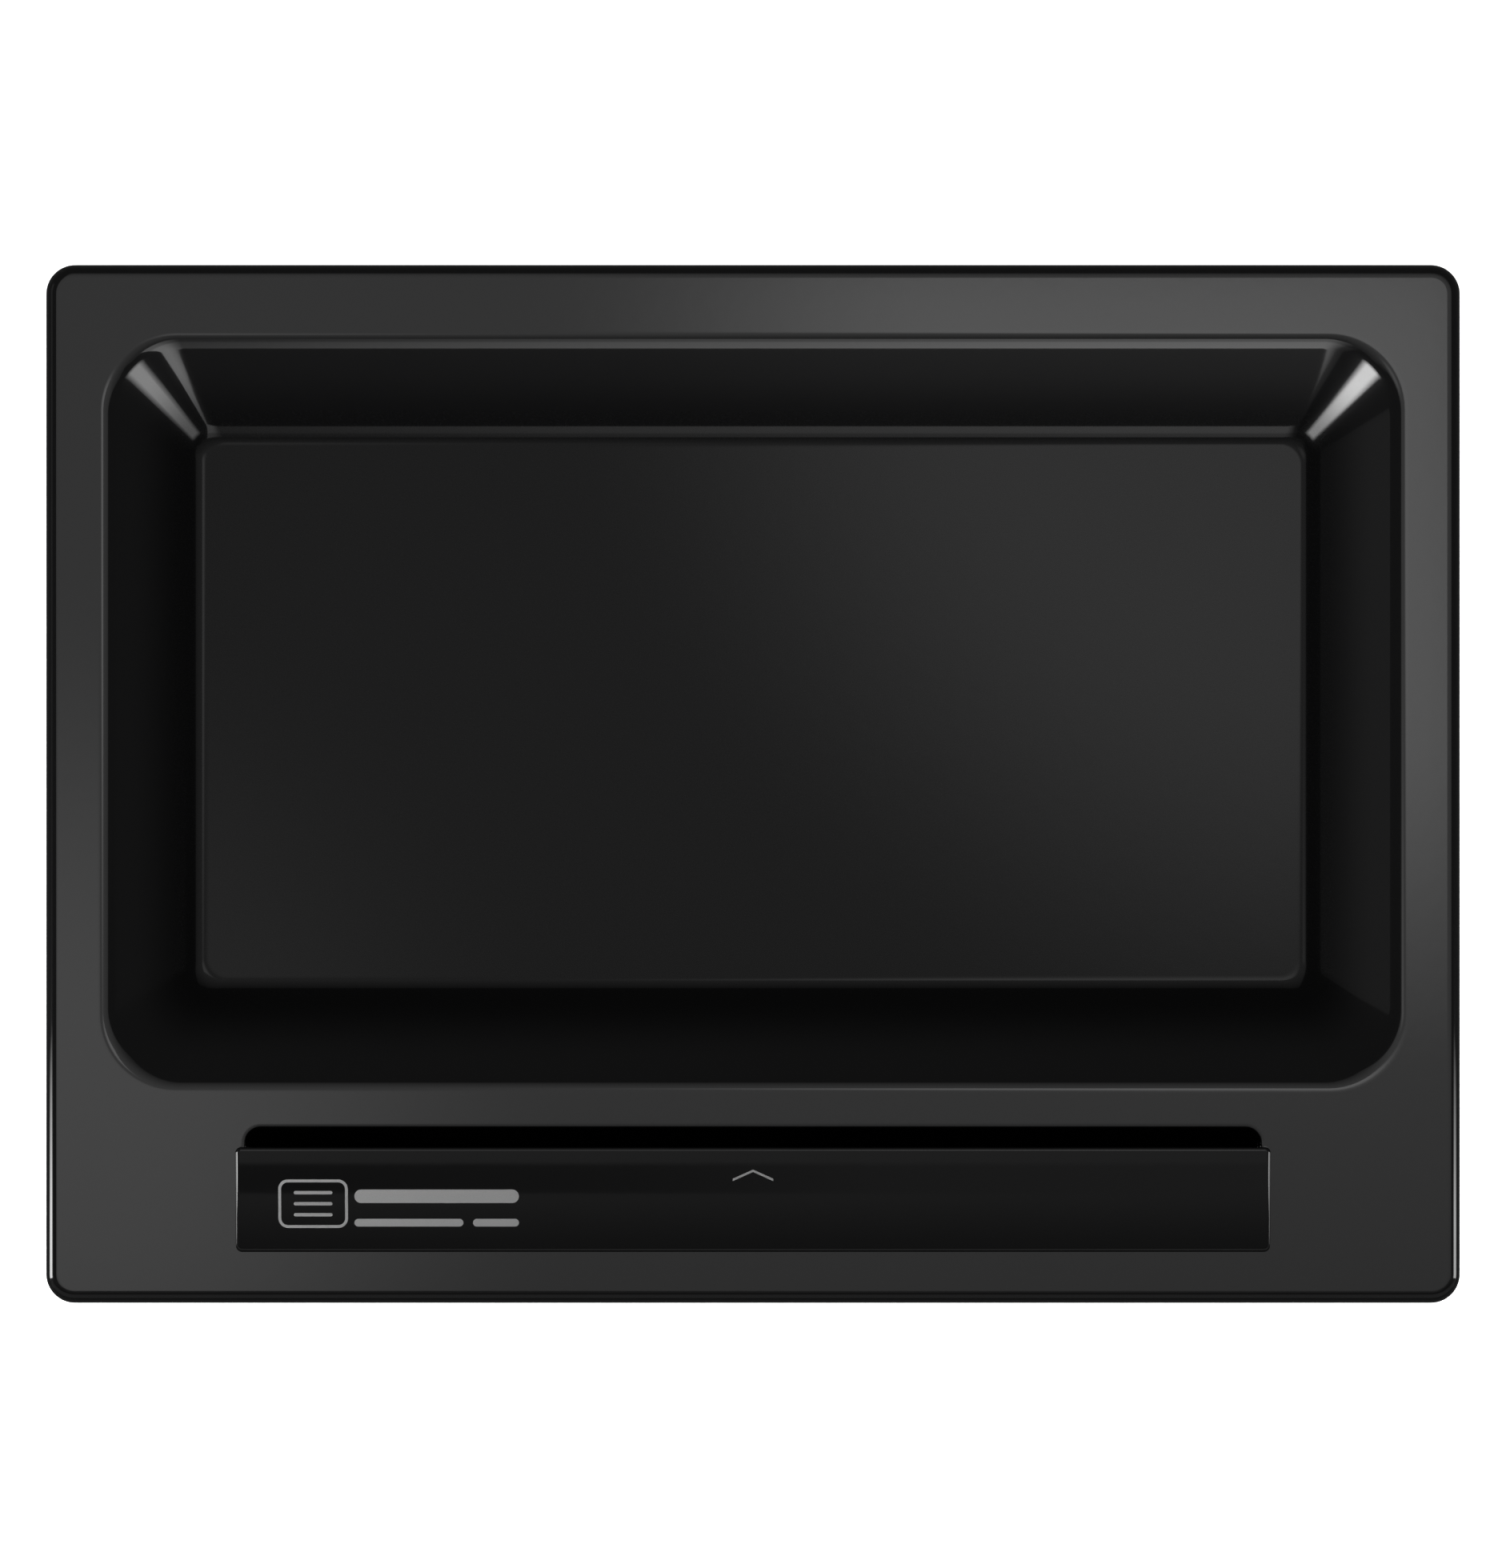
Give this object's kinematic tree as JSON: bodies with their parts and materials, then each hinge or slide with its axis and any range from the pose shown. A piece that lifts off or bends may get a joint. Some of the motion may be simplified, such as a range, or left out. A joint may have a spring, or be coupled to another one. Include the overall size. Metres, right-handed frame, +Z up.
{
  "type": "removable oven tray",
  "caption": "Black enamelled drip tray for an oven floor: a sloped basin in a wide flange, with a raised front grip over a closed finger trough.",
  "frame": {"origin": "centre of the tray's outline, on the plane that the basin floor rests on", "axes": "+X to the tray's right, +Y to its rear, away from the grip, +Z up"},
  "size_m": [0.586, 0.4304, 0.037],
  "materials": {
    "black_enamel": "gloss porcelain enamel on pressed steel",
    "grey_fired_ink": "satin print fired onto the enamel"
  },
  "bodies": {
    "root": {"tray_pan": "black_enamel", "grip_plate": "black_enamel", "finger_trough": "black_enamel", "grip_arrow_mark": "grey_fired_ink", "symbol_frame_mark": "grey_fired_ink", "symbol_bar_mark_1": "grey_fired_ink", "symbol_bar_mark_2": "grey_fired_ink", "symbol_bar_mark_3": "grey_fired_ink", "title_bar_mark": "grey_fired_ink", "caption_bar_mark_1": "grey_fired_ink", "caption_bar_mark_2": "grey_fired_ink"}
  },
  "joints": []
}
